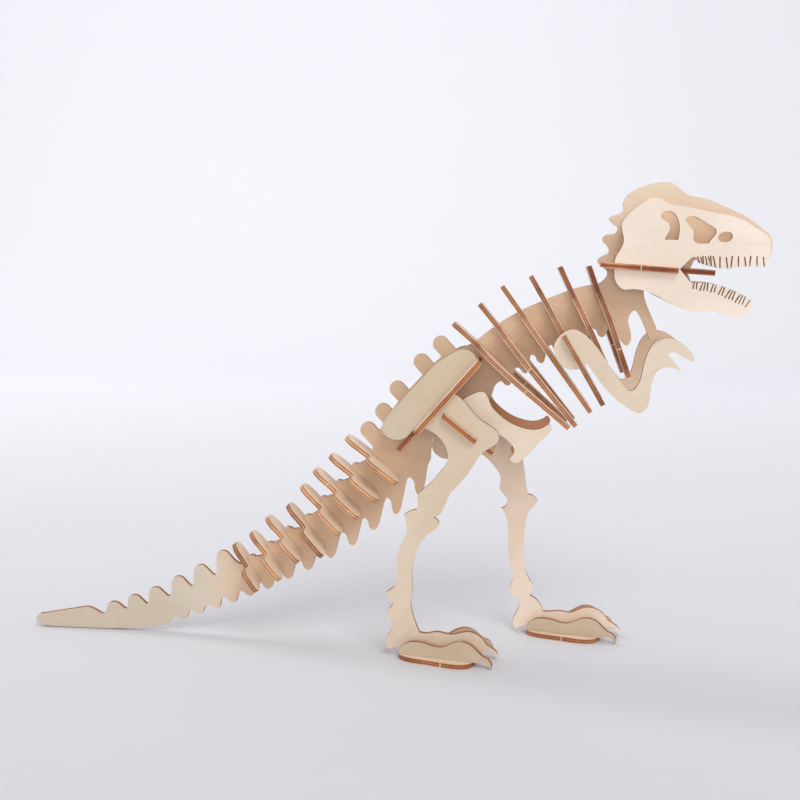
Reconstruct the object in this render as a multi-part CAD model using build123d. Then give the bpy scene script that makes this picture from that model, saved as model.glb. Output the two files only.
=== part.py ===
from build123d import *
import math
import os

# A slot-together plywood skeleton of a walking theropod dinosaur.
# X runs from the tail tip (negative) to the snout (positive), Y across the body (the animal's
# left side is positive) and Z up. The origin is on the floor, under the middle of the model.
# Side plates are drawn as (x, z) outlines. Cross plates are drawn as (y, distance) outlines,
# the distance being measured along the plate from its own starting point.

# ---------------------------------------------------------------- driving dimensions (mm)
PLY = 2.5                  # thickness of every plate
FIT = 0.12                 # play on each side of a slot
SLOT = PLY + 2 * FIT       # width of a slot that takes one plate
SEAT_GAP = 0.15            # play at the bottom of a slot

SKULL_Y = 9.0              # mid-planes of the paired side plates, each side of the spine
ILIUM_Y = 9.0
PUBIS_Y = 13.0
ARM_Y = 22.0
LEG_Y = 22.0

HIP_START = (16.0, 109.0)  # tail end of the wide part of the hip cross plate
HIP_SLOPE = 49.3           # degrees above horizontal, towards the head
HIP_LENGTH = 45.0
HIP_TONGUE = 15.0          # narrow part, behind HIP_START
HIP_HALF = 27.0
HIP_WINDOW_END = 34.0

THIGH_START = (27.6, 119.2)  # upper end of the leg cross plate
THIGH_SLOPE = -38.0
THIGH_BACK = 1.8           # where the plate begins, just below the hip cross plate
THIGH_TENON = 21.3         # where the parts that pass through the legs end
THIGH_BODY = 31.5          # where the part between the legs ends
THIGH_HALF = 26.5
THIGH_WINDOW_END = 16.0    # where its slots meet those of the spine and of the pubis plates
PUBIS_LAP = 12.0

HEAD_START = (101.5, 188.5)  # back end of the head cross plate
HEAD_SLOPE = -3.6
HEAD_WIDE = 34.5           # length of the wide part
HEAD_LENGTH = 52.8
HEAD_HALF = 13.0
HEAD_TONGUE_HALF = 6.5
HEAD_LAP = 20.0            # where the slots of the head cross plate and the skull meet
TOOTH_SLIT = 0.7
TOOTH_SWAY = 8.0           # degrees by which neighbouring slits lean to and fro
TOOTH_SLIT_LENGTH = 6.0

# Shape of the lobes that hang below the spine: shares of the way to a lobe's tip, and on to
# the lobe's end
LOBE_FRONT = [(0.42, 0.2), (0.55, 0.58), (0.74, 0.86)]
LOBE_BACK = [(0.24, 0.04), (0.41, 0.2), (0.59, 0.52), (0.77, 0.85)]

# A tooth on top of the tail: distance in front of its tip, and share of its height below it
TAIL_TOOTH = [(2.7, 0.28), (1.2, 0.05), (-0.5, 0.0), (-2.4, 0.14), (-3.3, 0.42), (-3.6, 0.76)]

FINGER_TIPS = [(26.0, 149.5), (16.8, 140.7), (5.2, 127.2), (-1.8, 116.0), (-9.0, 106.6)]
FINGER_SLOPE = 133.0       # the round-ended spikes above the hips
FINGER_LENGTH = 12.0
FINGER_RADIUS = 3.8

ILIUM_TABS = [(4.0, 12.0), (30.0, 38.0)]   # along the hip cross plate
LEG_TAB = (13.0, 21.0)

RIGHT_HEEL_X = 9.8         # back end of each foot pad
LEFT_HEEL_X = 70.8
PAD_LENGTH = 36.8
PAD_TABS = [(8.0, 14.0), (24.0, 30.0)]     # along a foot, from the back end of its pad
TOE_SPLAY = 13.5           # degrees that the toe plates fan out from the leg plate
TOE_HEEL_GAP = 3.3         # their distance from the leg plate's mid-plane at the heel
FOOT_GAP = 0.4             # lowest point of a toe above the floor

# Ribs from the hips to the neck: top point, slope down towards the head, length,
# length of the top spike, depth of the seat, greatest half width, and the degrees by which
# the play in its slots lets it turn about its own length
RIBS = [
    ((32.0, 159.5), 40.6, 73.5, 15.5, 23.0, 20.0, 0.0),
    ((44.5, 169.0), 50.5, 73.0, 14.5, 22.0, 19.0, 0.6),
    ((55.0, 177.5), 53.8, 72.0, 17.0, 23.5, 18.0, 1.2),
    ((68.5, 182.5), 59.5, 69.0, 17.0, 22.0, 26.0, 0.0),
    ((82.0, 187.0), 64.2, 63.0, 15.0, 21.0, 18.5, 1.6),
    ((95.5, 187.5), 69.6, 54.5, 12.0, 18.0, 17.0, 1.9),
]
ARM_RIB = 3                # the rib, counted from 0 at the hips, that the arms hang on
RIB_SPIKE_HALF = 4.5
RIB_TIP_OUT = 14.0
RIB_TIP_IN = 10.0
ARM_SLOT_TOP = 30.8        # along rib 4, where the arm's plate sits in it
ARM_SLOT_SEAT = 38.0

# Tail vertebrae from the hips to the tail tip: top point, slope down towards the head,
# length, and length of the upper lobe
VERTEBRAE = [
    ((-19.7, 102.7), 36.4, 33.0, 14.4),
    ((-27.7, 93.4), 37.8, 31.4, 14.4),
    ((-35.5, 86.0), 41.4, 31.4, 14.8),
    ((-41.9, 77.6), 44.3, 29.6, 13.8),
    ((-48.8, 67.8), 48.9, 29.6, 13.3),
    ((-59.4, 61.1), 46.3, 26.2, 12.3),
    ((-67.5, 53.2), 50.3, 26.6, 12.6),
    ((-76.1, 47.0), 55.8, 24.8, 12.1),
]
VERTEBRA_HALF = 17.4       # half width of the first one's wings, and the change to each next
VERTEBRA_HALF_STEP = 0.25
VERTEBRA_SEAT = 7.0        # depth of the first one's seat in the spine, and the change
VERTEBRA_SEAT_STEP = 0.4


# ---------------------------------------------------------------- drawing helpers
def outline(start, *runs):
    """A closed face. Each run is one straight line or one smooth curve, and runs meet at corners."""
    edges = []
    here = start
    for run in runs:
        points = [here, *run]
        edges.append(Line(*points) if len(points) == 2 else Spline(*points))
        here = points[-1]
    if math.dist(here, start) > 0.01:
        edges.append(Line(here, start))
    return Face(Wire(edges))


def side_plate(face, y=0.0):
    """A plate that stands upright, parallel to the spine."""
    return Pos(0, y, 0) * extrude(Plane.XZ * face, PLY / 2, both=True)


def cross_plane(start, slope):
    """The plane of a plate across the body, its local y running from start along the slope."""
    along_x, along_z = math.cos(math.radians(slope)), math.sin(math.radians(slope))
    return Plane(origin=(start[0], 0, start[1]), x_dir=(0, 1, 0), z_dir=(along_z, 0, -along_x))


def cross_plate(face, start, slope, turn=0.0):
    """A plate across the body, its left side swung back by a few degrees of turn."""
    return cross_plane(start, slope) * Rot(0, -turn, 0) * extrude(face, PLY / 2, both=True)


def strip(start, slope, first, last, width=SLOT):
    """A straight slot or tab in a side plate's outline, along a cross plate's line."""
    middle = (first + last) / 2
    x = start[0] + middle * math.cos(math.radians(slope))
    z = start[1] + middle * math.sin(math.radians(slope))
    return Pos(x, z) * Rot(0, 0, slope) * Rectangle(last - first, width)


def both_sides(half):
    return half + mirror(half, Plane.YZ)


def notch(y, first, last, width=SLOT):
    """A straight slot in a cross plate's outline, for the side plate at y."""
    return Pos(y, (first + last) / 2) * Rectangle(width, last - first)


def finger(centre, slope, length, radius):
    """A round-ended spike that starts inside the body and ends round centre."""
    x = centre[0] - length / 2 * math.cos(math.radians(slope))
    z = centre[1] - length / 2 * math.sin(math.radians(slope))
    return Pos(x, z) * Rot(0, 0, slope) * SlotCenterToCenter(length, 2 * radius)


# ---------------------------------------------------------------- spine and head
def lobes(valleys, tips):
    """Points of a row of hanging lobes: each lobe goes from one valley over its tip to the next."""
    points = []
    for first, tip, last in zip(valleys, tips, valleys[1:]):
        for near, far, shares in ((first, tip, LOBE_FRONT), (tip, last, LOBE_BACK)):
            for share_x, share_z in shares:
                points.append((near[0] + share_x * (far[0] - near[0]),
                               near[1] + share_z * (far[1] - near[1])))
            points.append(far)
    return points


def spine_outline():
    tail_tip = [(-179.3, 5.6), (-180.0, 3.6), (-177.5, 1.6), (-172.0, FOOT_GAP)]
    tail_sole = [(-141.0, FOOT_GAP)]
    tail_under = [(-134.0, 0.9), (-122.0, 2.2), (-110.2, 4.6)]
    tail_step = [(-108.9, 6.2), (-107.8, 7.7)]
    valleys = [(-107.8, 7.7), (-99.0, 11.5), (-90.5, 15.0), (-82.5, 19.0), (-73.5, 22.5),
               (-64.0, 27.5), (-54.0, 33.5), (-44.0, 40.0), (-32.5, 46.5), (-21.5, 54.6),
               (-10.7, 62.3), (0.9, 72.9), (11.5, 83.5), (21.8, 92.5)]
    tips = [(-102.4, 6.9), (-94.0, 10.0), (-85.0, 13.0), (-76.5, 16.5), (-68.0, 20.5),
            (-59.0, 24.5), (-48.5, 30.0), (-39.0, 35.0), (-27.5, 41.5), (-16.7, 48.3),
            (-6.4, 56.5), (4.8, 64.9), (16.6, 74.4)]
    rump = [(22.2, 99.5), (24.0, 104.0), (28.0, 103.0), (36.0, 101.0), (45.0, 104.0),
            (49.6, 112.0), (49.8, 120.0), (51.2, 125.6), (52.4, 129.4), (54.6, 131.8)]
    belly_valleys = [(54.6, 131.8), (62.6, 138.6), (69.6, 145.0), (78.3, 149.8), (88.0, 155.2),
                     (98.2, 158.0), (107.0, 160.5)]
    belly_tips = [(58.7, 130.0), (67.1, 136.0), (74.3, 141.1), (84.0, 146.4), (93.5, 151.4),
                  (102.6, 154.1)]
    breast = [(109.2, 157.6), (111.4, 152.8), (114.6, 150.3), (116.4, 153.4), (115.2, 160.0)]
    chest = [(115.6, 165.2), (117.6, 167.0), (120.0, 164.8), (123.0, 158.5), (126.5, 152.8),
             (128.2, 157.0), (126.6, 162.5), (124.0, 168.0), (121.5, 177.0)]
    jaw = [(126.0, 174.6), (136.0, 170.6), (148.0, 169.4), (158.0, 168.2), (163.0, 169.6)]
    mouth_floor = [(164.4, 172.6), (158.4, 176.6), (150.0, 179.2), (143.5, 179.6)]
    mouth_corner = [(142.8, 182.2), (141.6, 184.7)]
    palate = [(144.7, 191.7)]
    mouth_roof = [(150.0, 189.9), (158.0, 189.4), (170.0, 190.0), (177.0, 188.5)]
    snout = [(178.7, 192.0), (179.9, 196.5), (179.7, 200.5), (177.3, 204.3)]
    brow = [(172.0, 208.3), (166.0, 212.2), (159.0, 215.3), (150.0, 219.2), (145.0, 220.3),
            (140.5, 221.3), (136.0, 224.6), (133.0, 226.6), (129.0, 227.1), (123.5, 226.2),
            (117.5, 224.1), (112.6, 220.7), (110.7, 216.8)]
    nape = [(110.2, 213.0), (107.0, 211.6), (104.6, 210.2), (106.0, 207.8), (108.6, 205.5),
            (107.6, 203.2), (103.0, 202.2), (101.6, 200.0), (103.8, 197.3), (104.8, 194.2),
            (101.4, 192.2), (99.6, 190.0), (101.8, 187.6), (104.4, 184.4), (103.0, 181.4),
            (98.6, 179.0)]
    back = [(87.5, 176.3), (76.0, 171.6), (65.0, 166.5), (52.0, 158.4), (44.0, 152.0)]
    hips = [(38.0, 148.5), (30.0, 145.5), (20.5, 137.5), (11.0, 127.0), (3.5, 118.0),
            (-2.0, 109.0), (-6.2, 99.0)]
    return outline(
        (-176.3, 6.9), tail_tip, tail_sole, tail_under, tail_step,
        lobes(valleys, tips), rump, [*lobes(belly_valleys, belly_tips), *breast, *chest],
        jaw, mouth_floor, mouth_corner, palate, mouth_roof, snout, brow, nape, back, hips,
        *tail_bumps(), tail_teeth())


def tail_seats():
    """Where each tail vertebra crosses the top edge of the spine: point, slope and depth."""
    seats = []
    for number, (top, slope, length, neck) in enumerate(VERTEBRAE):
        x = top[0] + neck * math.cos(math.radians(slope))
        z = top[1] - neck * math.sin(math.radians(slope))
        seats.append(((x, z), -slope, VERTEBRA_SEAT - VERTEBRA_SEAT_STEP * number))
    return seats


def tail_bumps():
    """The top edge from the hips to the last vertebra. Behind each seat the edge runs straight,
    then rises in a small bump and drops to the next seat."""
    crossings = [seat[0] for seat in tail_seats()]
    runs = [[crossings[0]]]
    for here, following in zip(crossings, crossings[1:]):
        span = math.dist(here, following)
        along = ((following[0] - here[0]) / span, (following[1] - here[1]) / span)

        def point(share, rise):
            return (here[0] + share * span * along[0] + rise * along[1],
                    here[1] + share * span * along[1] - rise * along[0])
        runs.append([point(0.1, -1.0)])
        runs.append([point(0.54, 1.1)])
        runs.append([point(0.62, 2.6), point(0.74, 3.2), point(0.84, 2.3), following])
    return runs


def tail_teeth():
    """The backward-leaning teeth on top of the thin end of the tail."""
    tips = [(-81.8, 43.3), (-93.3, 35.5), (-104.9, 29.2), (-116.9, 23.0), (-127.9, 18.5),
            (-138.9, 14.5)]
    valleys = [(-75.2, 37.9), (-86.3, 30.6), (-98.3, 24.2), (-110.0, 18.6), (-121.5, 14.2),
               (-132.5, 11.2), (-144.8, 8.1)]
    points = [valleys[0]]
    for tip, valley, following in zip(tips, valleys, valleys[1:]):
        height = tip[1] - valley[1]
        for along, drop in TAIL_TOOTH:
            points.append((tip[0] + along, tip[1] - drop * height))
        points.append(following)
    return points + [(-147.6, 9.3), (-150.8, 10.9), (-154.2, 11.3)]


def spine_sheet():
    face = spine_outline()
    for tip in FINGER_TIPS:
        face += finger(tip, FINGER_SLOPE, FINGER_LENGTH, FINGER_RADIUS)
    for top, slope, length, spike, seat, half, turn in RIBS:
        face -= strip(top, -slope, 0.0, seat + SEAT_GAP)
    for crossing, slope, depth in tail_seats():
        face -= strip(crossing, slope, -8.0, depth + SEAT_GAP)
    face -= strip(HIP_START, HIP_SLOPE, -HIP_TONGUE - SEAT_GAP, HIP_WINDOW_END + SEAT_GAP)
    face -= strip(THIGH_START, THIGH_SLOPE, THIGH_BACK - SEAT_GAP,
                  THIGH_WINDOW_END + SEAT_GAP)
    face -= strip(HEAD_START, HEAD_SLOPE, HEAD_LAP - SEAT_GAP, HEAD_LENGTH + 4.0)
    return side_plate(face)


def head_cross_plate():
    face = outline(
        (-HEAD_HALF + 1.5, 0.0), [(HEAD_HALF - 1.5, 0.0)], [(HEAD_HALF, 1.5)],
        [(HEAD_HALF, HEAD_WIDE)], [(HEAD_TONGUE_HALF, HEAD_WIDE)],
        [(HEAD_TONGUE_HALF, HEAD_LENGTH - 3.0)], [(4.5, HEAD_LENGTH - 0.6), (0.0, HEAD_LENGTH),
         (-4.5, HEAD_LENGTH - 0.6), (-HEAD_TONGUE_HALF, HEAD_LENGTH - 3.0)],
        [(-HEAD_TONGUE_HALF, HEAD_WIDE)], [(-HEAD_HALF, HEAD_WIDE)], [(-HEAD_HALF, 1.5)])
    face -= notch(0.0, -1.0, HEAD_LAP)
    for side in (-1, 1):
        face -= notch(side * SKULL_Y, HEAD_LAP, HEAD_WIDE + 1.0)
    return cross_plate(face, HEAD_START, HEAD_SLOPE)


def teeth(first, last, count, direction):
    """A row of thin, uneven slits that cut a jaw's edge into teeth. Each one starts at a point
    between first and last and runs out past the edge, roughly in the direction in degrees."""
    slits = []
    for number in range(count):
        share = number / (count - 1)
        start = (first[0] + share * (last[0] - first[0]), first[1] + share * (last[1] - first[1]))
        sway = math.sin(2.1 * number)
        slits.append(strip(start, direction + TOOTH_SWAY * sway, 0.3 * sway, TOOTH_SLIT_LENGTH,
                           TOOTH_SLIT))
    return slits


def skull_outline():
    crown = [(121.5, 218.7), (117.0, 215.9), (112.0, 211.5), (109.6, 207.0), (110.8, 200.5),
             (109.6, 196.0), (107.4, 192.0), (106.9, 187.0), (107.2, 182.5), (109.0, 179.0),
             (112.5, 177.2)]
    jaw = [(118.0, 177.4), (125.5, 175.2), (134.5, 170.4), (142.0, 167.6), (148.0, 167.3),
           (153.5, 167.8), (158.5, 165.9), (164.0, 165.4), (168.0, 167.0), (170.0, 170.5),
           (169.0, 174.0)]
    lower_teeth_edge = [(165.3, 175.9), (161.4, 177.8), (158.4, 178.9), (153.0, 180.3),
                        (145.4, 180.8), (142.3, 180.6)]
    corner = [(139.6, 183.6), (136.9, 187.1)]
    cheek = [(141.9, 192.4)]
    upper_teeth_edge = [(143.1, 192.7), (145.8, 191.0), (148.5, 189.5), (153.8, 188.0),
                        (158.0, 187.3), (161.0, 187.9), (168.0, 188.6), (175.6, 188.6)]
    snout = [(177.0, 192.5), (177.4, 197.0), (176.8, 201.0), (174.5, 203.8)]
    brow = [(168.5, 207.4), (163.5, 210.2), (150.5, 213.2), (141.0, 215.2), (134.0, 216.1)]
    crest = [(130.6, 216.9), (127.6, 218.6), (124.8, 219.6)]
    return outline((124.8, 219.6), crown, jaw, lower_teeth_edge, corner, cheek,
                   upper_teeth_edge, snout, brow, crest)


def skull_face():
    face = skull_outline()
    temple = outline(
        (127.5, 212.2), [(129.5, 213.6), (132.5, 213.2), (135.2, 209.8), (136.0, 205.0),
                         (135.4, 200.4)],
        [(129.4, 200.4)],
        [(130.0, 202.2), (131.4, 205.0), (130.6, 208.2), (127.5, 210.4), (127.5, 212.2)])
    eye = outline(
        (138.5, 210.2), [(141.0, 211.3), (144.5, 210.4)], [(152.0, 206.0)],
        [(152.6, 203.8), (151.2, 201.6), (149.5, 199.0)], [(145.5, 198.8)],
        [(142.4, 201.0), (142.2, 204.6), (140.2, 207.2), (138.5, 210.2)])
    face -= temple
    face -= eye
    face -= Pos(156.8, 202.0) * Rot(0, 0, 12) * Ellipse(3.3, 2.4)
    face -= teeth((144.6, 193.0), (151.6, 193.2), 7, -76.0)
    face -= teeth((154.7, 193.0), (174.1, 193.4), 8, -88.0)
    face -= teeth((143.0, 177.9), (152.8, 176.5), 7, 80.0)
    face -= teeth((154.6, 175.5), (167.1, 170.2), 9, 65.0)
    face -= strip(HEAD_START, HEAD_SLOPE, 0.0, HEAD_LAP + SEAT_GAP)
    return face


# ---------------------------------------------------------------- ribs, arms and vertebrae
def rib(number):
    top, slope, length, spike, seat, half, turn = RIBS[number]
    arch = seat + 7.0
    shoulder = [(0.35 * half + 3.0, spike + 2.6), (0.75 * half, spike + 7.0),
                (half, 0.46 * length)]
    sweep = [(half, 0.58 * length), (0.35 * half + 0.65 * RIB_TIP_OUT, 0.8 * length),
             (RIB_TIP_OUT, length)]
    inside = [(0.4 * half + 3.4, 0.82 * length), (0.74 * half - 1.5, 0.66 * length),
              (0.5 * half, 0.12 * length + arch), (4.0, arch + 0.8), (0.0, arch)]
    prong = ()
    if number == ARM_RIB:
        shoulder = [(8.0, spike + 2.0), (15.5, spike + 7.0), (ARM_Y - 1.6, ARM_SLOT_TOP - 3.6)]
        prong = [(ARM_Y + 1.6, ARM_SLOT_TOP)], [(half - 1.0, ARM_SLOT_TOP)], \
                [(half, ARM_SLOT_TOP + 1.0)]
        sweep = [(half, 0.54 * length), (half - 1.4, 0.66 * length), (18.5, 0.85 * length),
                 (RIB_TIP_OUT, length)]
        inside = [(13.0, 0.84 * length), (14.5, 0.70 * length), (10.0, 0.12 * length + arch),
                  (4.0, arch + 0.8), (0.0, arch)]
    half_face = outline(
        (0.0, 0.0), [(RIB_SPIKE_HALF - 1.0, 0.0)], [(RIB_SPIKE_HALF, 1.0)],
        [(RIB_SPIKE_HALF, spike)], shoulder, *prong, sweep, [(RIB_TIP_IN, length)], inside)
    face = both_sides(half_face)
    face -= notch(0.0, seat, arch + 3.0)
    if number == ARM_RIB:
        for side in (-1, 1):
            face -= notch(side * ARM_Y, ARM_SLOT_TOP - 8.0, ARM_SLOT_SEAT)
    return cross_plate(face, top, -slope, turn)


def arm_face():
    upper_arm = [(82.0, 156.0), (88.0, 159.3), (93.5, 157.0), (100.5, 149.5), (109.5, 136.8),
                 (113.3, 132.2)]
    hand = [(116.0, 131.6), (118.5, 134.5), (120.5, 142.0), (123.0, 150.5), (126.0, 154.4),
            (132.0, 156.0), (137.0, 154.2), (141.0, 150.8), (143.6, 145.3)]
    first_claw = [(140.0, 146.6), (136.5, 148.5), (133.5, 149.6), (131.6, 148.2)]
    second_claw = [(134.8, 144.8), (138.0, 140.3)]
    elbow = [(135.0, 142.0), (130.5, 142.6), (126.8, 140.6), (125.0, 136.5), (124.0, 129.0),
             (122.6, 123.4), (119.5, 121.2), (115.5, 122.6), (109.5, 126.6), (103.0, 133.0),
             (95.0, 143.6)]
    shoulder = [(91.5, 141.2), (87.5, 140.6), (83.4, 142.6), (80.3, 147.0), (79.6, 151.5)]
    face = outline((79.6, 151.5), upper_arm, hand, first_claw, second_claw, elbow, shoulder)
    top, slope = RIBS[ARM_RIB][:2]
    face -= strip(top, -slope, ARM_SLOT_SEAT - SEAT_GAP, 60.0)
    return face


def vertebra(number):
    top, slope, length, neck = VERTEBRAE[number]
    depth = tail_seats()[number][2]
    half = VERTEBRA_HALF - VERTEBRA_HALF_STEP * number
    lobe = 6.4 - 0.15 * number
    corner = 2.4
    half_face = outline(
        (0.0, 0.0), [(0.55 * lobe, 0.6), (0.92 * lobe, 3.0), (lobe, 7.0)],
        [(lobe, neck - 0.8)], [(lobe + 1.0, neck + 0.4)], [(half - corner, neck + 0.6)],
        [(half - 0.9, neck + 1.5), (half, neck + corner + 0.6)],
        [(half, length - corner)], [(half - 0.9, length - 0.9), (half - corner, length)],
        [(0.6 * half, length - 0.6), (0.3 * half, length - 2.6), (0.0, length - 3.0)])
    face = both_sides(half_face)
    face -= notch(0.0, neck + depth, length + 1.0)
    return cross_plate(face, top, -slope)


# ---------------------------------------------------------------- hips and legs
def hip_cross_plate():
    half_face = outline(
        (0.0, -HIP_TONGUE), [(4.0, -HIP_TONGUE)], [(5.0, -HIP_TONGUE + 1.0)], [(5.0, -4.0)],
        [(5.6, -1.2), (8.0, 0.0)], [(HIP_HALF - 2.0, 0.0)], [(HIP_HALF, 2.0)],
        [(HIP_HALF, HIP_LENGTH - 2.0)], [(HIP_HALF - 2.0, HIP_LENGTH)], [(0.0, HIP_LENGTH)])
    face = both_sides(half_face)
    face -= notch(0.0, HIP_WINDOW_END, HIP_LENGTH + 1.0)
    for side in (-1, 1):
        for first, last in ILIUM_TABS:
            face -= notch(side * ILIUM_Y, first - FIT, last + FIT)
        face -= notch(side * LEG_Y, LEG_TAB[0] - FIT, LEG_TAB[1] + FIT)
    return cross_plate(face, HIP_START, HIP_SLOPE)


def hip_point(along, out):
    """A point given along the hip cross plate and out from its mid-plane, upwards."""
    angle = math.radians(HIP_SLOPE)
    return (HIP_START[0] + along * math.cos(angle) - out * math.sin(angle),
            HIP_START[1] + along * math.sin(angle) + out * math.cos(angle))


def hip_tab(first, last, low, high):
    return outline(hip_point(first, low), [hip_point(last, low)], [hip_point(last, high)],
                   [hip_point(first, high)])


def ilium_face():
    under = PLY / 2 + 0.05
    face = outline(
        hip_point(-5.5, under), [hip_point(44.0, under)],
        [(41.8, 146.4), (37.5, 147.9), (33.5, 146.6), (28.0, 143.4), (22.5, 138.8)],
        [(11.0, 126.2)], [(4.5, 118.8), (0.6, 113.8), (-1.2, 110.0), (-0.8, 107.2),
                          (1.6, 104.8), (6.0, 103.6), hip_point(-5.5, under)])
    for first, last in ILIUM_TABS:
        face += hip_tab(first, last, -PLY / 2, under + 0.5)
    return face


def pubis_face():
    back_edge = [(37.5, 124.0), (43.5, 127.6), (47.6, 128.2), (49.6, 125.4),
                 (51.4, 121.4), (54.5, 118.0), (60.0, 114.0), (66.5, 111.4), (72.0, 110.8),
                 (78.2, 113.6)]
    boot = [(79.8, 111.6), (76.5, 107.0), (70.0, 99.8), (66.0, 96.0), (63.6, 94.6),
            (61.2, 95.4), (61.6, 98.2)]
    under = [(62.6, 100.6), (60.6, 104.0), (56.0, 107.6), (50.0, 108.6), (44.0, 106.0),
             (38.0, 104.4), (32.5, 106.4), (31.0, 112.0), (34.0, 119.0)]
    face = outline((34.0, 119.0), back_edge, boot, under)
    return face - strip(THIGH_START, THIGH_SLOPE, 0.0, PUBIS_LAP + SEAT_GAP)


def leg_cross_plate():
    inner = LEG_Y - PLY / 2 - FIT
    half_face = outline(
        (0.0, THIGH_BACK), [(THIGH_HALF - 1.0, THIGH_BACK)], [(THIGH_HALF, THIGH_BACK + 1.0)],
        [(THIGH_HALF, THIGH_TENON - 1.0)], [(THIGH_HALF - 1.0, THIGH_TENON)],
        [(inner, THIGH_TENON)], [(inner, THIGH_BODY - 1.0)], [(inner - 1.0, THIGH_BODY)],
        [(0.0, THIGH_BODY)])
    face = both_sides(half_face)
    face -= notch(0.0, THIGH_WINDOW_END, THIGH_BODY + 1.0)
    for side in (-1, 1):
        face -= notch(side * PUBIS_Y, PUBIS_LAP, THIGH_BODY + 1.0)
    return cross_plate(face, THIGH_START, THIGH_SLOPE)


def leg_slots(face):
    face -= strip(THIGH_START, THIGH_SLOPE, THIGH_BACK - SEAT_GAP, THIGH_TENON + SEAT_GAP)
    return face + hip_tab(LEG_TAB[0], LEG_TAB[1], -PLY / 2 - 0.8, PLY / 2)


def right_leg_face():
    under = -PLY / 2 - 0.05
    top = [hip_point(26.5, under)]
    knee = [(41.5, 121.5), (46.5, 116.2), (51.0, 113.4), (54.4, 110.6), (55.2, 107.6),
            (53.0, 104.2), (48.0, 101.0), (43.5, 94.2), (37.5, 86.0), (32.5, 80.6)]
    ankle = [(31.4, 77.0), (29.8, 73.6), (28.6, 70.6)]
    spur = [(25.2, 69.2)]
    shin = [(27.8, 65.6), (22.5, 60.6), (18.8, 55.8), (16.4, 48.5), (15.2, 41.0),
            (15.4, 33.5), (14.8, 28.0), (16.0, 20.5), (19.2, 12.4)]
    foot_top = [(22.8, 11.9), (27.4, 12.8), (33.9, 11.8), (39.0, 12.8), (43.5, 13.4),
                (47.2, 12.0), (50.6, 8.6)]
    claw = [(53.4, 6.2), (56.4, 3.8), (56.6, 1.2)]
    foot_under = [(55.4, 2.6), (53.0, 4.0), (50.2, 4.2)]
    sole = [(47.4, 2.7)]
    sole_back = [(13.0, 2.7)]
    heel = [(10.5, 4.4), (7.5, 4.8), (5.2, 3.6)]
    heel_back = [(3.4, 4.6), (3.4, 9.0), (6.2, 15.4), (5.0, 18.0), (3.6, 20.6), (4.4, 23.6),
                 (6.5, 26.4), (3.8, 29.0), (3.0, 31.2), (6.0, 33.8), (7.8, 38.0), (8.0, 46.0),
                 (9.4, 54.0), (12.2, 60.5), (12.0, 66.5), (11.2, 69.6)]
    hock = [(14.0, 71.6), (17.0, 72.6)]
    thigh = [(17.6, 75.0), (17.4, 78.6), (21.5, 83.6), (28.0, 91.0), (31.4, 96.5),
             (31.2, 101.0), (29.0, 105.5), (25.5, 109.0), hip_point(4.5, under)]
    return outline(hip_point(4.5, under), top, knee, ankle, spur, shin, foot_top, claw,
                   foot_under, sole, sole_back, heel, heel_back, hock, thigh)


def left_leg_face():
    under = -PLY / 2 - 0.05
    top = [hip_point(26.5, under)]
    knee = [(44.0, 121.0), (52.0, 116.0), (59.0, 109.0), (63.5, 101.0), (66.0, 93.0),
            (68.0, 83.5), (69.0, 76.0), (69.8, 72.2)]
    ankle = [(73.4, 70.6), (74.8, 68.4)]
    spur = [(70.4, 63.2)]
    shin = [(68.8, 55.0), (68.4, 46.0), (69.0, 36.0), (70.4, 30.0), (73.2, 25.0),
            (73.0, 22.4), (71.8, 19.6)]
    instep = [(75.4, 17.4), (79.0, 11.4)]
    foot_top = [(83.5, 11.4), (87.6, 11.8), (92.7, 11.2), (97.7, 13.2), (102.4, 14.2),
                (107.0, 13.0), (111.6, 8.0)]
    claw = [(115.0, 6.0), (117.4, 3.8), (118.0, 1.0)]
    foot_under = [(116.6, 2.8), (114.2, 4.1), (111.2, 4.2)]
    sole = [(108.4, 2.7)]
    sole_back = [(70.2, 2.7)]
    heel = [(69.4, 3.5), (67.8, 3.4), (66.0, 1.4)]
    heel_back = [(64.2, 3.0), (64.4, 8.0), (67.0, 14.0), (67.0, 17.2)]
    hock = [(63.6, 18.8), (62.0, 22.0), (63.2, 28.0), (61.4, 37.0), (60.4, 48.0),
            (59.2, 60.0), (56.6, 64.4)]
    calf = [(59.6, 68.4), (58.8, 70.4), (55.8, 74.0), (56.0, 79.6), (53.4, 85.0),
            (46.5, 91.8), (38.0, 93.8), (29.5, 89.2), (24.0, 90.6), (21.3, 94.0),
            (21.6, 99.0), (23.6, 103.0), (24.0, 107.0), hip_point(4.5, under)]
    return outline(hip_point(4.5, under), top, knee, ankle, spur, shin, instep, foot_top, claw,
                   foot_under, sole, sole_back, heel, heel_back, hock, calf)


# ---------------------------------------------------------------- feet
def toe_place(side):
    """Moves a shape drawn along a foot from the leg plate's line to a toe plate's line."""
    return Pos(0, side * TOE_HEEL_GAP, 0) * Rot(0, 0, side * TOE_SPLAY)


def foot_pad():
    """A pad that widens from the heel to the toes, with slots for the leg and toe plates."""
    face = outline(
        (0.0, 5.0), [(0.4, 0.0), (0.0, -5.0)],
        [(3.0, -8.0), (12.0, -11.6), (20.0, -14.2), (28.0, -16.2), (32.4, -15.4),
         (35.6, -11.6), (PAD_LENGTH, -7.0)],
        [(PAD_LENGTH, 7.0)],
        [(35.6, 11.6), (32.4, 15.4), (28.0, 16.2), (20.0, 14.2), (12.0, 11.6), (3.0, 8.0),
         (0.0, 5.0)])
    for first, last in PAD_TABS:
        slot = Pos((first + last) / 2, 0) * Rectangle(last - first + 2 * FIT, SLOT)
        face -= slot
        for side in (-1, 1):
            face -= toe_place(side) * slot
    return extrude(face, PLY)


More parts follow.
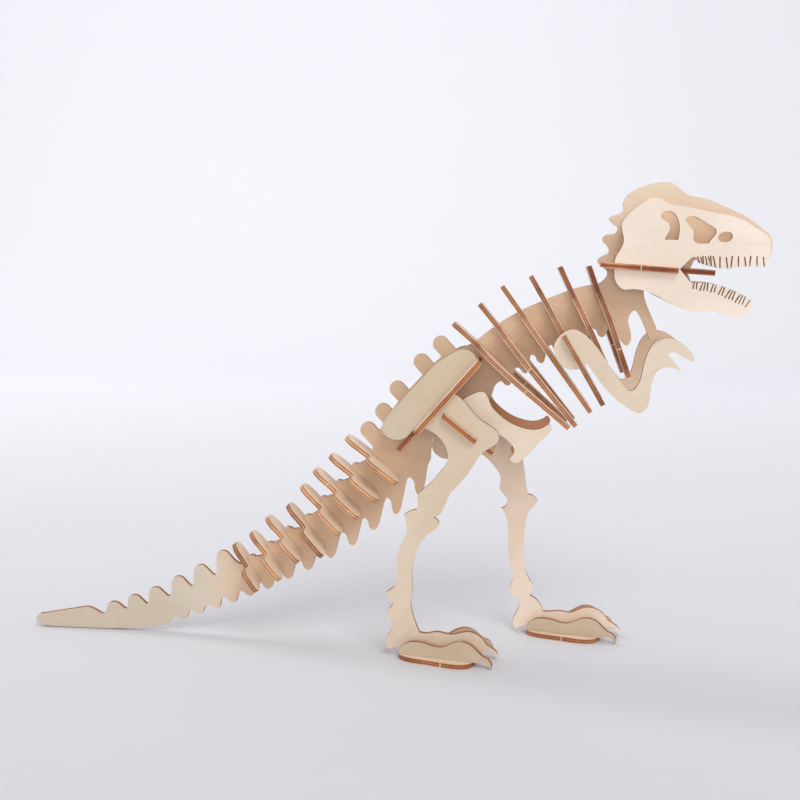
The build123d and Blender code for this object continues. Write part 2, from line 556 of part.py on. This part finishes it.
def toe_face():
    top = [(0.4, 5.0), (2.4, 7.0), (5.0, 8.6), (8.2, 9.2), (12.6, 9.0), (16.4, 8.2),
           (19.8, 7.9), (23.2, 8.8), (27.0, 10.8), (31.6, 11.8), (35.8, 10.6), (39.4, 7.6),
           (41.8, 5.8)]
    claw = [(43.8, 5.0), (45.4, 3.2), (45.4, FOOT_GAP)]
    claw_under = [(44.2, 2.0), (42.4, 3.3), (40.4, 3.6)]
    front = [(38.4, PLY + 0.1)]
    return outline((0.0, PLY + 0.1), top, claw, claw_under, front)


def pad_tabs():
    """The tabs of a leg or toe plate that reach down through its foot pad."""
    tabs = []
    for first, last in PAD_TABS:
        tabs.append(Pos((first + last) / 2, 1.7) * Rectangle(last - first, 3.0))
    return tabs


# ---------------------------------------------------------------- the whole model
def model():
    parts = {
        "spine_sheet": spine_sheet(),
        "head_cross_plate": head_cross_plate(),
        "hip_cross_plate": hip_cross_plate(),
        "leg_cross_plate": leg_cross_plate(),
    }
    for side, name in ((-1, "right"), (1, "left")):
        parts["skull_plate_" + name] = side_plate(skull_face(), side * SKULL_Y)
        parts["arm_" + name] = side_plate(arm_face(), side * ARM_Y)
        parts["ilium_plate_" + name] = side_plate(ilium_face(), side * ILIUM_Y)
        parts["pubis_plate_" + name] = side_plate(pubis_face(), side * PUBIS_Y)
    toe = side_plate(toe_face() + pad_tabs())
    legs = (("right", right_leg_face(), -LEG_Y, RIGHT_HEEL_X),
            ("left", left_leg_face(), LEG_Y, LEFT_HEEL_X))
    for name, face, leg_y, heel_x in legs:
        tabs = [Pos(heel_x, 0) * tab for tab in pad_tabs()]
        parts["leg_" + name] = side_plate(leg_slots(face) + tabs, leg_y)
        foot = Pos(heel_x, leg_y, 0)
        outward = int(math.copysign(1, leg_y))
        parts["foot_pad_" + name] = foot * foot_pad()
        parts["toe_plate_" + name + "_outer"] = foot * toe_place(outward) * toe
        parts["toe_plate_" + name + "_inner"] = foot * toe_place(-outward) * toe
    for number in range(len(RIBS)):
        parts["rib_" + str(number + 1)] = rib(number)
    for number in range(len(VERTEBRAE)):
        parts["tail_vertebra_" + str(number + 1)] = vertebra(number)
    return parts


os.makedirs("parts", exist_ok=True)
for node, shape in model().items():
    export_step(shape, "parts/" + node + ".step")
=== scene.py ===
import math

import bmesh
import bpy
from mathutils import Matrix, Vector

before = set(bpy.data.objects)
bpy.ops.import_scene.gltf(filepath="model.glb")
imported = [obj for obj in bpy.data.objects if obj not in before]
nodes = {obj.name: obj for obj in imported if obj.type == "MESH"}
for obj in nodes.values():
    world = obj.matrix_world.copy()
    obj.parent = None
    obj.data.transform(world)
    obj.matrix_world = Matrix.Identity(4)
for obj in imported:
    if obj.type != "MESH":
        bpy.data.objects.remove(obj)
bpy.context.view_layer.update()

# Lengths are in metres. +X is the snout's end, +Y the animal's left side and +Z up.
PLY = 0.0025              # thickness of every plate
EDGE_WEAR = 0.0001        # width of the rounding on a plate's edges


# ---------------------------------------------------------------- camera
CAMERA_AT = (0.0628, -0.5917, 0.2033)
CAMERA_TURN = 5.44        # degrees towards -X from looking along +Y
CAMERA_PITCH = 7.83       # degrees below the horizon
CAMERA_ROLL = 0.57        # degrees that it leans to its left
LENS = 55.35              # focal length in mm on a sensor 36 mm wide


def make_camera():
    """The camera looks at the animal's right side from a little above its middle."""
    turn, pitch, roll = (math.radians(a) for a in (CAMERA_TURN, CAMERA_PITCH, CAMERA_ROLL))
    ahead = Vector((-math.sin(turn) * math.cos(pitch), math.cos(turn) * math.cos(pitch),
                    -math.sin(pitch)))
    right = Vector((math.cos(turn), math.sin(turn), 0.0))
    up = right.cross(ahead)
    rolled_right = right * math.cos(roll) + up * math.sin(roll)
    rolled_up = up * math.cos(roll) - right * math.sin(roll)
    data = bpy.data.cameras.new("camera")
    data.sensor_width = 36.0
    data.lens = LENS
    data.clip_start, data.clip_end = 0.01, 20.0
    camera = bpy.data.objects.new("camera", data)
    bpy.context.scene.collection.objects.link(camera)
    turned = Matrix((rolled_right, rolled_up, -ahead)).transposed()
    camera.matrix_world = Matrix.Translation(CAMERA_AT) @ turned.to_4x4()
    bpy.context.scene.camera = camera


# ---------------------------------------------------------------- node helpers
class Shader:
    """A material's node tree, built with short calls."""

    def __init__(self, name):
        self.material = bpy.data.materials.new(name)
        self.material.use_nodes = True
        self.tree = self.material.node_tree
        self.tree.nodes.clear()
        self.output = self.tree.nodes.new("ShaderNodeOutputMaterial")
        self.surface = self.tree.nodes.new("ShaderNodeBsdfPrincipled")
        self.tree.links.new(self.surface.outputs[0], self.output.inputs["Surface"])
        self.place = self.tree.nodes.new("ShaderNodeTexCoord")

    def put(self, socket, value):
        """Feed a socket from another node's output, or set it to a constant."""
        if isinstance(value, bpy.types.NodeSocket):
            self.tree.links.new(value, socket)
        elif value is not None:
            socket.default_value = value

    def math(self, operation, a, b=None, c=None, clamp=False):
        node = self.tree.nodes.new("ShaderNodeMath")
        node.operation = operation
        node.use_clamp = clamp
        for socket, value in zip(node.inputs, (a, b, c)):
            self.put(socket, value)
        return node.outputs[0]

    def dot(self, vector, direction):
        """How far a place lies along a direction."""
        node = self.tree.nodes.new("ShaderNodeVectorMath")
        node.operation = "DOT_PRODUCT"
        self.put(node.inputs[0], vector)
        self.put(node.inputs[1], tuple(direction))
        return node.outputs["Value"]

    def combine(self, x, y, z):
        node = self.tree.nodes.new("ShaderNodeCombineXYZ")
        for socket, value in zip(node.inputs, (x, y, z)):
            self.put(socket, value)
        return node.outputs[0]

    def noise(self, vector, scale, detail=2.0, roughness=0.5):
        node = self.tree.nodes.new("ShaderNodeTexNoise")
        self.put(node.inputs["Vector"], vector)
        self.put(node.inputs["Scale"], scale)
        self.put(node.inputs["Detail"], detail)
        self.put(node.inputs["Roughness"], roughness)
        return node.outputs["Fac"]

    def steps(self, value, low, high, out_low=0.0, out_high=1.0, smooth=True):
        """A number that goes from out_low to out_high as value goes from low to high."""
        node = self.tree.nodes.new("ShaderNodeMapRange")
        node.interpolation_type = "SMOOTHSTEP" if smooth else "LINEAR"
        for socket, number in zip(node.inputs[:5], (value, low, high, out_low, out_high)):
            self.put(socket, number)
        return node.outputs[0]

    def mix(self, share, a, b, blend="MIX"):
        node = self.tree.nodes.new("ShaderNodeMix")
        node.data_type = "RGBA"
        node.blend_type = blend
        self.put(node.inputs[0], share)
        for socket, value in zip(node.inputs[6:8], (a, b)):
            self.put(socket, value)
        return node.outputs[2]

    def mix_value(self, share, a, b):
        """A number that goes from a to b as share goes from 0 to 1."""
        node = self.tree.nodes.new("ShaderNodeMix")
        node.data_type = "FLOAT"
        for index, value in zip((0, 2, 3), (share, a, b)):
            self.put(node.inputs[index], value)
        return node.outputs[0]

    def bump(self, height, distance, strength):
        """The surface direction, as tilted by a height from 0 to 1 times a distance."""
        node = self.tree.nodes.new("ShaderNodeBump")
        self.put(node.inputs["Strength"], strength)
        self.put(node.inputs["Distance"], distance)
        self.put(node.inputs["Height"], height)
        return node.outputs[0]


def srgb(red, green, blue):
    """A colour as it looks on screen, 0 to 255, in the linear form that sockets take."""
    def linear(value):
        value /= 255.0
        return value / 12.92 if value <= 0.04045 else ((value + 0.055) / 1.055) ** 2.4
    return linear(red), linear(green), linear(blue), 1.0


# ---------------------------------------------------------------- plywood
# Colour of each group's veneer, and the lean of its grain in degrees above +X
# These colours are partly the boards' own tones and partly painted light: the skull is paler high
# up, the toes darker low down, and the far arm and far leg paler to lift their shade.
VENEER_AND_LIGHT = {
    "skull": ((246, 231, 216), -6.0),
    "spine": ((234, 212, 188), -10.0),
    "ilium": ((209, 192, 168), 50.0),
    "pubis": ((236, 219, 199), 35.0),
    "arm": ((226, 208, 187), 40.0),
    "arm_left": ((242, 214, 186), 40.0),
    "leg_right": ((223, 204, 181), 47.0),
    "leg_left": ((240, 220, 200), 60.0),
    "toe": ((203, 183, 159), 8.0),
    "foot": ((228, 206, 182), 0.0),
    "rib": ((224, 200, 172), 0.0),
    "tail": ((232, 210, 188), 0.0),
    "hip": ((230, 210, 186), 0.0),
    "head": ((230, 210, 186), 0.0),
    "leg_cross": ((222, 198, 170), 0.0),
}
# Painted light over the spine's veneer: warm brown painted shade over its middle from hips to
# neck, greyer painted shade in its thin tail, and how many times brighter painted bounce light
# makes it where the skull plates cover it
SPINE_SHADE = (228, 208, 191)
TAIL_SHADE = (232, 240, 246)
WINDOW_BOUNCE = (1.15, 1.09, 1.04, 1.0)
SPINE_SHADE_SHARE = 0.7
# Where those tints fade in or out, in metres along X, along Z for the mouth, and along the
# slopes below for the neck and for the crest
ALONG_X, ALONG_Z = (1.0, 0.0, 0.0), (0.0, 0.0, 1.0)
NECK_SLOPE, CREST_SLOPE = (0.5, 0.0, 1.0), (0.4, 0.0, 1.0)
SPINE_SHADE_FROM = (-0.092, -0.064)
SPINE_SHADE_UP_TO = (0.248, 0.268)
TAIL_SHADE_UP_TO = (-0.100, -0.068)
WINDOW_BOUNCE_FROM = (0.118, 0.126)
WINDOW_BOUNCE_UP_TO = (0.163, 0.170)
OVER_MOUTH = (0.193, 0.198)
UNDER_CREST = (0.267, 0.272)
# Plates whose inner, right-hand face gets painted shade, warm brown as from bounce light, and its
# colour
SHADED_INNER_FACE = {"pubis_plate_left": (222, 158, 118)}
# Laser-burnt edges: the colours of the middle ply, the glue lines beside it and the outer
# borders, then how far the edge is charred at the start and at the end of the plate
EDGE = {
    "rib": ((204, 146, 104), (150, 84, 50), (236, 204, 174), 0.40, 0.06),
    "tail": ((232, 194, 150), (164, 92, 52), (228, 178, 134), 0.22, 0.06),
    "head": ((150, 78, 50), (186, 112, 70), (224, 164, 116), 0.20, 0.60),
    "foot": ((194, 128, 88), (132, 68, 42), (218, 166, 124), 0.20, 0.20),
    "hip": ((196, 124, 80), (150, 80, 48), (230, 178, 134), 0.15, 0.15),
    "leg_cross": ((200, 128, 82), (156, 84, 50), (234, 186, 142), 0.10, 0.15),
    "plate": ((176, 122, 84), (144, 88, 56), (192, 140, 100), 0.12, 0.12),
}
CHAR = (112, 54, 34)
# Plates that were cut slower, and how much more charred they are
DARK_PIECES = {"tail_vertebra_5": 0.45, "tail_vertebra_8": 0.45, "rib_6": 0.6,
               "rib_5": 0.25, "rib_4": 0.25}
# Pale stubs where a piece was held in its board: the share of the way along the plate
NICKS = {"rib_1": 0.63, "rib_2": 0.52, "rib_6": 0.74, "head_cross_plate": 0.33,
         "foot_pad_right": 0.55, "foot_pad_left": 0.47, "toe_plate_right_outer": 0.68,
         "tail_vertebra_3": 0.3, "leg_right": 0.4}
NICK_FADE = (0.00022, 0.00034)
NICK_COLOUR = (226, 200, 168)


def group_of(name, table, spare):
    """The row for the longest key that a plate's name starts with, or else the spare row."""
    matches = [key for key in table if name.startswith(key)]
    return table[max(matches, key=len)] if matches else table[spare]


def plate_axes(obj):
    """The direction through a plate's thickness, and its mid-plane's distance along that."""
    normal = max(obj.data.polygons, key=lambda face: face.area).normal.copy()
    if normal.y > 0.5 or (abs(normal.y) < 0.5 and normal.z < 0):
        normal.negate()
    reach = [vertex.co.dot(normal) for vertex in obj.data.vertices]
    return normal, (min(reach) + max(reach)) / 2


def grain_axes(normal, lean):
    """The grain's direction in a plate, and the direction across it."""
    if abs(normal.y) > 0.5:
        grain = Vector((math.cos(math.radians(lean)), 0.0, math.sin(math.radians(lean))))
    elif abs(normal.z) > 0.99:
        grain = Vector((1.0, 0.0, 0.0))
    else:
        grain = Vector((0.0, 1.0, 0.0)).cross(normal).normalized()
    grain = (grain - normal * grain.dot(normal)).normalized()
    return grain, normal.cross(grain).normalized()


def veneer_colour(s, colour, along, over, seed):
    """Pale birch veneer: slow clouds, faint rings, fine fibres and short dark pores."""
    warp = s.noise(s.combine(s.math("MULTIPLY", along, 12.0), s.math("MULTIPLY", over, 30.0),
                             seed), 1.0, 2.0)
    fibre = s.noise(s.combine(s.math("MULTIPLY", along, 60.0),
                              s.math("MULTIPLY_ADD", warp, 0.9, s.math("MULTIPLY", over, 2300.0)),
                              seed + 3.1), 1.0, 3.0, 0.65)
    rings = s.noise(s.combine(s.math("MULTIPLY", along, 6.0),
                              s.math("MULTIPLY_ADD", warp, 2.2, s.math("MULTIPLY", over, 210.0)),
                              seed + 9.7), 1.0, 2.0, 0.55)
    cloud = s.noise(s.combine(s.math("MULTIPLY", along, 14.0), s.math("MULTIPLY", over, 28.0),
                              seed + 5.3), 1.0, 3.0)
    pore = s.steps(s.noise(s.combine(s.math("MULTIPLY", along, 240.0),
                                     s.math("MULTIPLY", over, 3600.0), seed + 1.7), 1.0, 1.0),
                   0.64, 0.74)
    pale = srgb(*(min(250.0, 1.018 * value) for value in colour))
    deep = srgb(0.972 * colour[0], 0.958 * colour[1], 0.938 * colour[2])
    dark = srgb(0.90 * colour[0], 0.86 * colour[1], 0.80 * colour[2])
    veneer = s.mix(s.steps(cloud, 0.34, 0.68), pale, deep)
    veneer = s.mix(s.steps(rings, 0.50, 0.74, 0.0, 0.45), veneer, deep)
    veneer = s.mix(s.steps(fibre, 0.44, 0.80, 0.0, 0.30), veneer, dark)
    veneer = s.mix(s.math("MULTIPLY", pore, 0.34), veneer, dark)
    speck = s.noise(s.combine(along, over, seed * 0.01), 3200.0, 2.0, 0.7)
    veneer = s.mix(s.steps(speck, 0.50, 0.80, 0.0, 0.20), veneer, dark)
    return veneer, fibre, pore


def spine_tints(s, veneer, position):
    """The spine's veneer with painted light: warm brown painted shade from hips to neck, greyer
    painted shade in the tail, painted bounce light behind the skull.
    """
    x = s.dot(position, ALONG_X)
    # Warm brown painted shade over the sheet's middle, from hips to neck.
    middle_shade = s.math("MULTIPLY", s.steps(x, *SPINE_SHADE_FROM, 0.0, SPINE_SHADE_SHARE),
                     s.steps(s.dot(position, NECK_SLOPE), *SPINE_SHADE_UP_TO, 1.0, 0.0))
    veneer = s.mix(middle_shade, veneer, s.mix(1.0, veneer, srgb(*SPINE_SHADE), "MULTIPLY"))
    # Greyer painted shade over the sheet's thin tail.
    tail_shade = s.steps(x, *TAIL_SHADE_UP_TO, 1.0, 0.0)
    veneer = s.mix(tail_shade, veneer, s.mix(1.0, veneer, srgb(*TAIL_SHADE), "MULTIPLY"))
    # Painted bounce light: the sheet is brightened where it shows through the skull's windows.
    behind_skull = s.math("MULTIPLY", s.steps(x, *WINDOW_BOUNCE_FROM), s.steps(x, *WINDOW_BOUNCE_UP_TO, 1.0, 0.0))
    between = s.math("MULTIPLY", s.steps(s.dot(position, CREST_SLOPE), *UNDER_CREST, 1.0, 0.0),
                     s.steps(s.dot(position, ALONG_Z), *OVER_MOUTH))
    bounce_share = s.math("MULTIPLY", behind_skull, between)
    return s.mix(bounce_share, veneer, s.mix(1.0, veneer, WINDOW_BOUNCE, "MULTIPLY"))


def edge_colour(s, edge, charred, depth, along, over, seed):
    """The cut edge: a middle ply, darker glue lines beside it and paler outer borders."""
    core, glue, border = (srgb(*colour) for colour in edge[:3])
    spot = s.combine(along, over, seed * 0.01)
    scorch = s.noise(spot, 420.0, 2.0, 0.6)
    patch = s.noise(spot, 85.0, 2.0, 0.6)
    fine = s.noise(s.combine(s.math("MULTIPLY", along, 2600.0), s.math("MULTIPLY", over, 2600.0),
                             s.math("MULTIPLY", depth, 260.0)), 1.0, 2.0)
    out = s.math("MULTIPLY_ADD", s.math("SUBTRACT", scorch, 0.5), 0.22,
                 s.math("DIVIDE", s.math("ABSOLUTE", depth), PLY / 2))
    colour = s.mix(s.steps(out, 0.24, 0.38), core, glue)
    colour = s.mix(s.steps(out, 0.58, 0.78), colour, border)
    burnt = s.math("ADD", charred, s.math("MULTIPLY", s.math("SUBTRACT", patch, 0.5), 1.9),
                   clamp=True)
    within = s.steps(out, 0.78, 1.04, 1.0, 0.55)
    colour = s.mix(s.math("MULTIPLY", s.math("MULTIPLY", burnt, 0.86), within), colour,
                   srgb(*CHAR))
    colour = s.mix(s.steps(fine, 0.50, 0.80, 0.0, 0.35), colour, srgb(*CHAR))
    return colour, fine


def cut_colour(s, name, depth, along, over, start, length, seed):
    """The colour and fine texture of a plate's cut edge, with a pale stub where it has one."""
    edge = group_of(name, EDGE, "plate")
    extra = DARK_PIECES.get(name, 0.0)
    charred = s.steps(along, start + 0.20 * length, start + 0.32 * length, edge[3] + extra,
                      edge[4] + extra)
    cut, fine = edge_colour(s, edge, charred, depth, along, over, seed)
    if name in NICKS:
        from_nick = s.math("ABSOLUTE", s.math("SUBTRACT", along, start + NICKS[name] * length))
        cut = s.mix(s.steps(from_nick, *NICK_FADE, 0.85, 0.0), cut, srgb(*NICK_COLOUR))
    return cut, fine


def plywood(name, obj, seed):
    """Birch plywood cut by laser: pale veneer faces, and a browned edge that shows its plies."""
    s = Shader(name + "_ply")
    normal, middle = plate_axes(obj)
    colour, lean = group_of(name, VENEER_AND_LIGHT, "rib")
    grain, across = grain_axes(normal, lean)
    position = s.place.outputs["Object"]
    along = s.dot(position, grain)
    over = s.dot(position, across)
    depth = s.math("SUBTRACT", s.dot(position, normal), middle)
    reach = [vertex.co.dot(grain) for vertex in obj.data.vertices]
    start, length = min(reach), max(reach) - min(reach)

    veneer, fibre, pore = veneer_colour(s, colour, along, over, seed)
    if name == "spine_sheet":
        veneer = spine_tints(s, veneer, position)
    facing = s.dot(s.place.outputs["Normal"], normal)
    # Painted shade, warm brown, on the inner face of the far pubis plate.
    if name in SHADED_INNER_FACE:
        inner_shade = s.mix(1.0, veneer, srgb(*SHADED_INNER_FACE[name]), "MULTIPLY")
        veneer = s.mix(s.steps(facing, 0.4, 0.8, 0.0, 0.9), veneer, inner_shade)
    cut, fine = cut_colour(s, name, depth, along, over, start, length, seed)

    on_face = s.steps(s.math("ABSOLUTE", facing), 0.62, 0.92)
    s.put(s.surface.inputs["Base Color"], s.mix(on_face, cut, veneer))
    s.put(s.surface.inputs["Roughness"],
          s.mix_value(on_face, 0.78, s.steps(fibre, 0.3, 0.8, 0.52, 0.68)))
    relief = s.mix_value(on_face, fine, s.math("SUBTRACT", s.math("MULTIPLY", fibre, 0.5),
                                               s.math("MULTIPLY", pore, 0.8)))
    s.put(s.surface.inputs["Normal"], s.bump(relief, 0.00005, 0.6))
    s.put(s.surface.inputs["IOR"], 1.46)
    return s.material


def dress_plates():
    """Give every plate its own plywood and slightly rounded edges."""
    for number, (name, obj) in enumerate(sorted(nodes.items())):
        obj.data.materials.clear()
        obj.data.materials.append(plywood(name, obj, 7.3 * number + 1.9))
        bevel = obj.modifiers.new("worn_edges", "BEVEL")
        bevel.width = EDGE_WEAR
        bevel.segments = 2
        bevel.limit_method = "ANGLE"
        bevel.angle_limit = math.radians(40.0)
        bevel.harden_normals = False


# ---------------------------------------------------------------- floor, backdrop and light
FLOOR_FRONT = -3.0        # Y of the paper's front edge
BEND_START = 1.2          # Y where the level floor begins to curve up
BEND_RADIUS = 0.8
BEND_STEPS = 16
BACKDROP_TOP = 3.5
PAPER_HALF_WIDTH = 4.0
# The paper's grey with painted shade, darker in front of the model and paler behind it: where,
# and how pale
PAPER_SHADE = (-0.45, 0.95, 0.61, 0.83)
PAPER_BLUE = 1.04         # its blue, against its red and green

SKY_COLOUR = (0.97, 0.975, 1.0, 1.0)
SKY_STRENGTH = 0.59
MIDDLE = (0.0, 0.0, 0.08)
# Where each lamp is, where it points, its width and height, and its power in watts
LAMPS = {
    "key_front_right": ((1.15, -2.10, 2.75), MIDDLE, (1.7, 1.7), 45.0),
    "front_fill": ((0.15, -2.1, 0.55), MIDDLE, (0.9, 0.7), 8.0),
    "side_left_back": ((-1.15, 0.45, 1.05), MIDDLE, (0.55, 0.40), 3.0),
    "backdrop_wash": ((-0.8, 0.7, 1.7), (-0.6, 1.9, 0.5), (1.8, 0.6), 10.0),
}


def paper_profile():
    """The paper from its front edge to its top, as (y, z)."""
    profile = [(FLOOR_FRONT, 0.0), (BEND_START, 0.0)]
    for step in range(1, BEND_STEPS + 1):
        angle = math.radians(90.0 * step / BEND_STEPS)
        profile.append((BEND_START + BEND_RADIUS * math.sin(angle),
                        BEND_RADIUS - BEND_RADIUS * math.cos(angle)))
    profile.append((BEND_START + BEND_RADIUS, BACKDROP_TOP))
    return profile


def paper():
    """Grey paper, with painted shade that darkens it towards the front."""
    s = Shader("sweep_paper")
    grey = s.steps(s.dot(s.place.outputs["Object"], (0.0, 1.0, 0.0)), *PAPER_SHADE, smooth=False)
    s.put(s.surface.inputs["Base Color"],
          s.combine(grey, grey, s.math("MULTIPLY", grey, PAPER_BLUE)))
    s.put(s.surface.inputs["Roughness"], 0.9)
    return s.material


def make_floor():
    """A paper sweep: a level floor that curves up into the backdrop well behind the model."""
    mesh = bpy.data.meshes.new("sweep")
    sweep = bmesh.new()
    rows = [[sweep.verts.new((x, y, z)) for x in (-PAPER_HALF_WIDTH, PAPER_HALF_WIDTH)]
            for y, z in paper_profile()]
    for low, high in zip(rows, rows[1:]):
        sweep.faces.new((low[0], low[1], high[1], high[0])).smooth = True
    sweep.to_mesh(mesh)
    sweep.free()
    obj = bpy.data.objects.new("sweep", mesh)
    bpy.context.scene.collection.objects.link(obj)
    mesh.materials.append(paper())


def area_light(name, at, towards, size, power):
    """A rectangular lamp."""
    data = bpy.data.lights.new(name, "AREA")
    data.shape = "RECTANGLE"
    data.size, data.size_y = size
    data.energy = power
    obj = bpy.data.objects.new(name, data)
    bpy.context.scene.collection.objects.link(obj)
    obj.location = at
    obj.rotation_euler = (Vector(towards) - Vector(at)).to_track_quat("-Z", "Y").to_euler()


def make_light():
    """A bright, nearly white room with a soft key light from the front right."""
    scene = bpy.context.scene
    scene.view_settings.view_transform = "Standard"
    world = bpy.data.worlds.new("studio")
    world.use_nodes = True
    background = world.node_tree.nodes["Background"]
    background.inputs["Color"].default_value = SKY_COLOUR
    background.inputs["Strength"].default_value = SKY_STRENGTH
    scene.world = world
    for name, lamp in LAMPS.items():
        area_light(name, *lamp)


make_camera()
dress_plates()
make_floor()
make_light()
